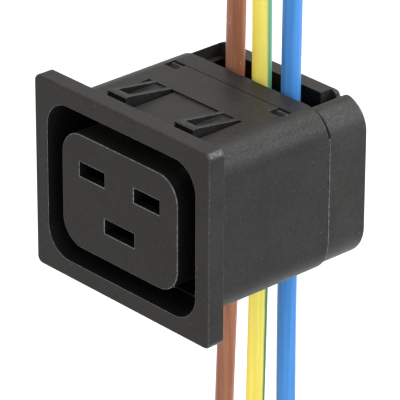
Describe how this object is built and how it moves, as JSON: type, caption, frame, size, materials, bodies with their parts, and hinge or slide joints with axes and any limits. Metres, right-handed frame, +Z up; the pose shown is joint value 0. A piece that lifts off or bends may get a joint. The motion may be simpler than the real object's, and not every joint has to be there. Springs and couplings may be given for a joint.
{
  "type": "panel mount power outlet",
  "caption": "Snap-in panel outlet with a rectangular flange, a recessed three-slot socket face, a boxed sleeve and a rear cover that clamps through-running wires.",
  "frame": {"origin": "centre of the flange's back face, on the plane of the panel it is snapped into", "axes": "+X to the right seen from the front, +Y from the socket face into the cabinet, +Z up with the two power slots above the earth slot"},
  "size_m": [0.0414, 0.0365, 0.0951],
  "materials": {
    "moulding": "finely textured black polyamide",
    "contact_brass": "stamped, bright",
    "spring_steel": "cold-rolled",
    "brown_insulation": "extruded PVC",
    "green_yellow_insulation": "extruded PVC, green stripe on yellow",
    "blue_insulation": "extruded PVC",
    "copper": "bare drawn copper"
  },
  "bodies": {
    "root": {"front_housing": "moulding", "contact_carrier": "moulding", "wire_guide": "moulding", "rear_cover": "moulding", "live_contact": "contact_brass", "neutral_contact": "contact_brass", "earth_contact": "contact_brass", "live_contact_clip": "spring_steel", "neutral_contact_clip": "spring_steel", "earth_contact_clip": "spring_steel", "brown_wire_insulation": "brown_insulation", "green_yellow_wire_insulation": "green_yellow_insulation", "blue_wire_insulation": "blue_insulation", "brown_wire_conductor": "copper", "green_yellow_wire_conductor": "copper", "blue_wire_conductor": "copper"}
  },
  "joints": []
}
